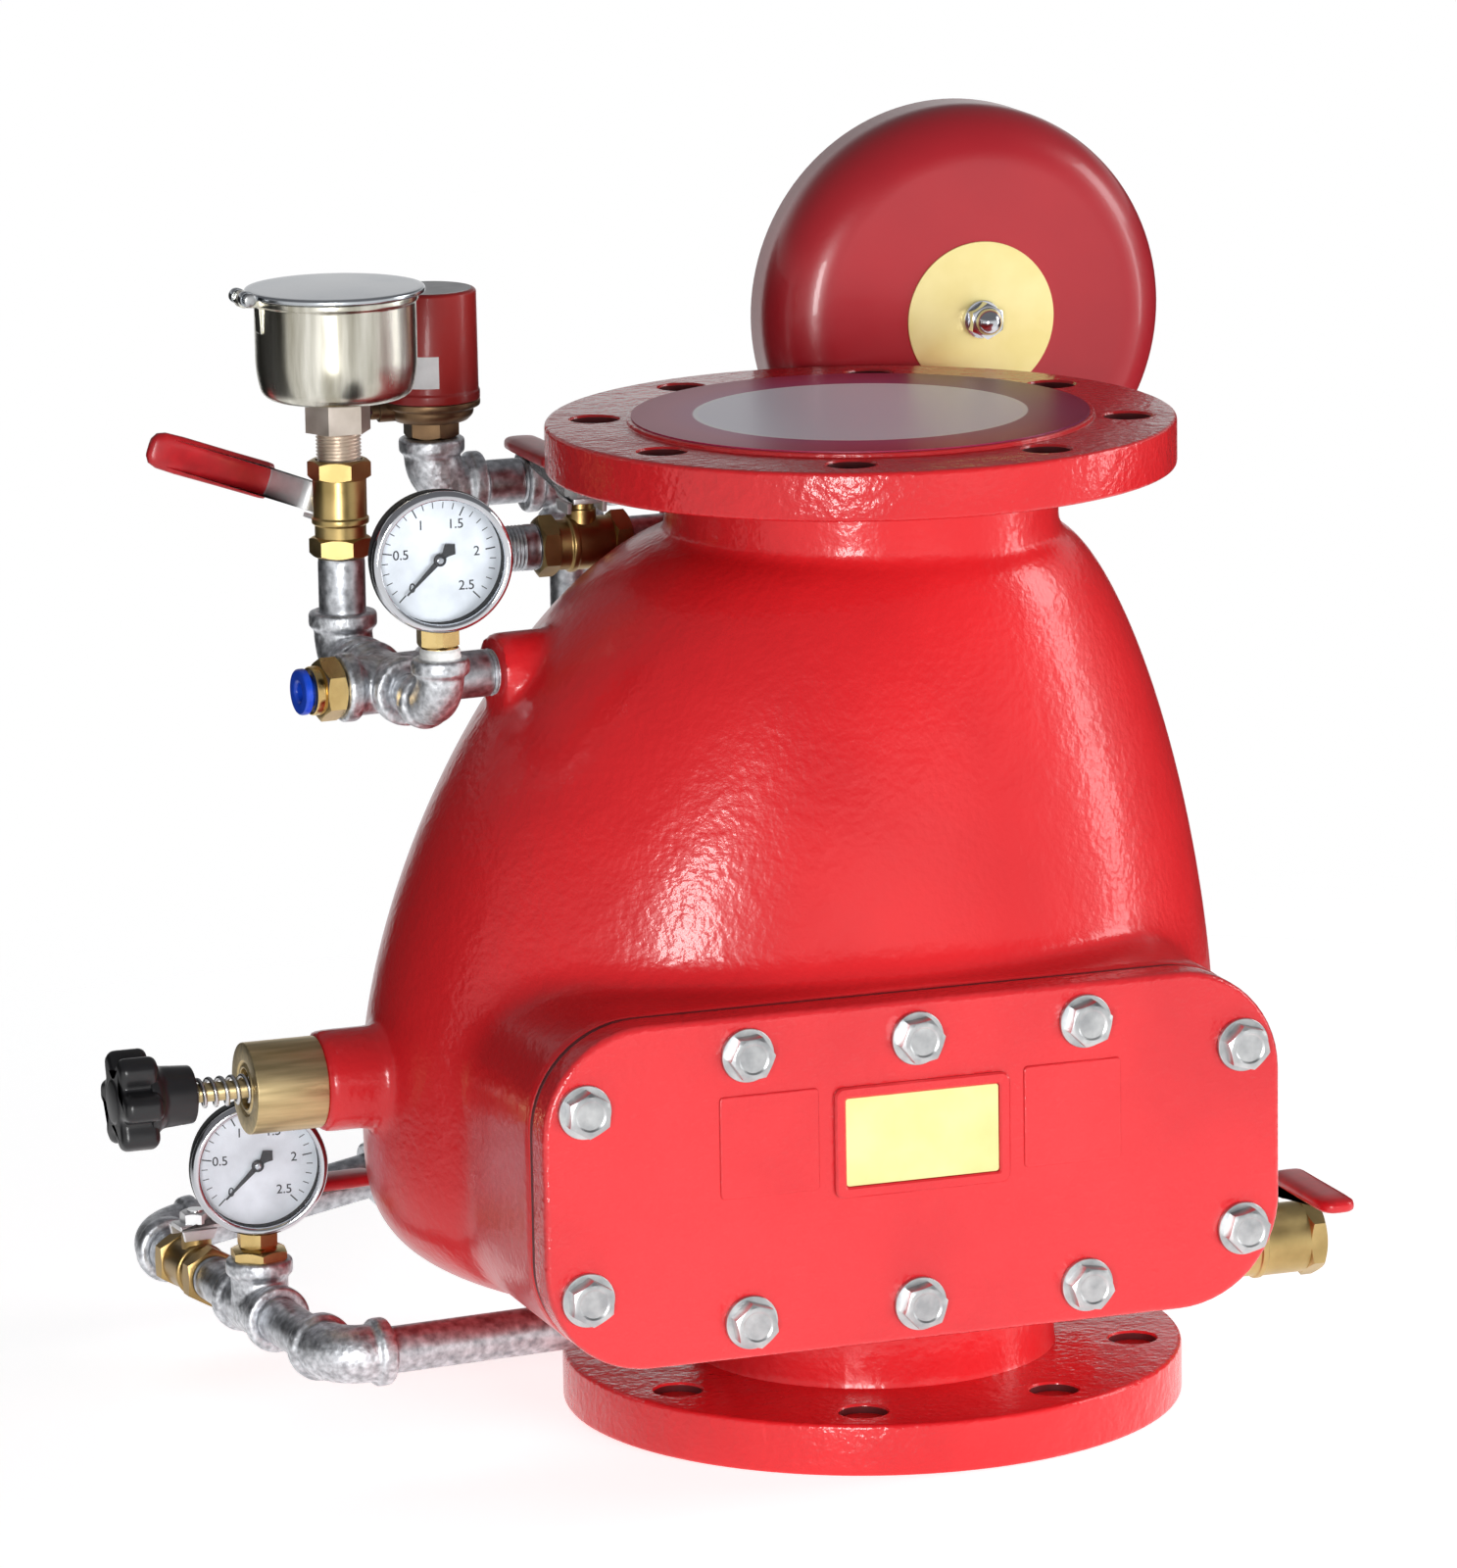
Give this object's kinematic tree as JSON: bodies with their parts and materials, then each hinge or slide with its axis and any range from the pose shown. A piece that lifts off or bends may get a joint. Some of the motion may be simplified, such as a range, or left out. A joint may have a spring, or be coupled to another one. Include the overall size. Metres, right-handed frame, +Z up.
{
  "type": "sprinkler alarm valve",
  "caption": "Flanged vertical dry-pipe alarm valve with a hinged clapper behind a bolted hand-hole cover, reset knob, pressure gauges, trim ball valves, filling cup, pressure switch and gong.",
  "frame": {"origin": "centre of the inlet flange's bottom face", "axes": "+Z up the waterway from inlet to outlet, -Y out through the hand-hole cover, -X towards the reset knob"},
  "size_m": [0.583, 0.4152, 0.569],
  "materials": {
    "red_enamel": "glossy",
    "dark_red_paint": "satin",
    "galvanized_steel": "matte",
    "zinc_steel": "satin",
    "chrome": "polished",
    "brass": "satin",
    "bronze": "matte",
    "rubber": "matte",
    "black_plastic": "glossy",
    "black_paint": "satin",
    "dial_white": "matte",
    "clear_glass": "clear",
    "blue_plastic": "glossy",
    "red_vinyl": "satin",
    "film": "glossy",
    "teal_insulation": "satin",
    "red_insulation": "satin",
    "dark_insulation": "satin"
  },
  "bodies": {
    "valve": {"valve_body": "red_enamel", "seat_ring": "bronze", "pivot_pins": "zinc_steel", "cover_gasket": "rubber", "handhole_cover": "red_enamel", "cover_bolts": "zinc_steel", "cover_nameplate": "brass", "gland_nut": "brass", "knob_spring": "zinc_steel", "trim_pipes": "galvanized_steel", "trim_elbows": "galvanized_steel", "trim_tees": "galvanized_steel", "gauge_sockets": "brass", "gauge_cases": "black_paint", "gauge_bezels": "chrome", "gauge_dials": "dial_white", "gauge_windows": "clear_glass", "push_fitting": "brass", "fill_adapter": "bronze", "fill_cup": "bronze", "cup_lid_pin": "zinc_steel", "switch_base": "bronze", "switch_can": "dark_red_paint", "wire_teal": "teal_insulation", "wire_red": "red_insulation", "wire_dark": "dark_insulation", "gong_shell": "dark_red_paint", "gong_plate": "brass", "gong_nut": "zinc_steel", "motor_housing": "dark_red_paint", "fill_valve_body": "brass", "vent_valve_body": "bronze", "test_valve_body": "bronze", "drain_valve_body": "brass"},
    "clapper": {"clapper_disc": "bronze", "clapper_facing": "rubber", "clapper_clamp_plate": "zinc_steel"},
    "reset_button": {"reset_stem": "brass", "star_knob": "black_plastic"},
    "latch": {"latch_pawl": "bronze"},
    "film": {"port_film": "film"},
    "air_needle": {"air_gauge_needle": "black_paint"},
    "supply_needle": {"supply_gauge_needle": "black_paint"},
    "collet": {"push_collet": "blue_plastic"},
    "lid": {"cup_lid": "chrome"},
    "rotor": {"motor_rotor": "zinc_steel"},
    "fill_handle": {"fill_valve_ball": "chrome", "fill_valve_lever": "zinc_steel", "fill_valve_grip": "red_vinyl"},
    "vent_handle": {"vent_valve_ball": "chrome", "vent_valve_lever": "zinc_steel", "vent_valve_grip": "red_vinyl"},
    "test_handle": {"test_valve_ball": "chrome", "test_valve_lever": "zinc_steel", "test_valve_grip": "red_vinyl"},
    "drain_handle": {"drain_valve_ball": "chrome", "drain_valve_lever": "zinc_steel", "drain_valve_grip": "red_vinyl"}
  },
  "joints": [
    {"name": "clapper_swing", "type": "hinge", "parent": "valve", "child": "clapper", "pos_m": [-0.14, 0, 0.1093], "axis": [0, -1, 0], "range_deg": [0, 70]},
    {"name": "knob_press", "type": "slide", "parent": "valve", "child": "reset_button", "axis": [1, 0, 0], "range_m": [0, 0.01], "stiffness_N_per_m": 900, "springref_m": -0.004, "deforming": ["knob_spring"]},
    {"name": "latch_release", "type": "hinge", "parent": "valve", "child": "latch", "pos_m": [-0.172, 0, 0.2], "axis": [0, -1, 0], "range_deg": [0, 19.66]},
    {"name": "fill_valve_turn", "type": "hinge", "parent": "valve", "child": "fill_handle", "pos_m": [-0.23034, 0.05044, 0.422], "axis": [-0.0872, 0.9962, 0], "range_deg": [-20, 70]},
    {"name": "vent_valve_turn", "type": "hinge", "parent": "valve", "child": "vent_handle", "pos_m": [-0.1, 0.1, 0.387], "axis": [0, 0, 1], "range_deg": [-90, 0]},
    {"name": "test_valve_turn", "type": "hinge", "parent": "valve", "child": "test_handle", "pos_m": [-0.27898, 0.14825, 0.05], "axis": [0, 0, 1], "range_deg": [0, 90]},
    {"name": "drain_valve_turn", "type": "hinge", "parent": "valve", "child": "drain_handle", "pos_m": [0.196, 0, 0.05], "axis": [0, 0, 1], "range_deg": [0, 90]},
    {"name": "cup_lid_hinge", "type": "hinge", "parent": "valve", "child": "lid", "pos_m": [-0.27467, 0.04657, 0.5205], "axis": [0.0872, -0.9962, 0], "range_deg": [0, 110]},
    {"name": "air_gauge_reading", "type": "hinge", "parent": "valve", "child": "air_needle", "pos_m": [-0.22058, -0.06113, 0.417], "axis": [0.0872, 0.9962, 0], "range_deg": [0, 270], "stiffness_Nm_per_rad": 0.0004, "springref_deg": -11.46},
    {"name": "supply_gauge_reading", "type": "hinge", "parent": "valve", "child": "supply_needle", "pos_m": [-0.2721, 0.06955, 0.118], "axis": [0.1392, 0.9903, 0], "range_deg": [0, 270], "stiffness_Nm_per_rad": 0.0004, "springref_deg": -11.46},
    {"name": "tube_release", "type": "slide", "parent": "valve", "child": "collet", "axis": [0.9962, 0.0872, 0], "range_m": [0, 0.0015], "stiffness_N_per_m": 400, "springref_m": -0.001},
    {"name": "film_lift", "type": "slide", "parent": "valve", "child": "film", "axis": [0, 0, 1], "range_m": [0, 0.05]},
    {"name": "gong_striker", "type": "hinge", "parent": "valve", "child": "rotor", "pos_m": [0.112, 0.2, 0.471], "axis": [0, 1, 0], "continuous": true}
  ],
  "couplings": [
    {"joint": "latch_release", "follows": "knob_press", "rad_per_m": 34.3}
  ]
}
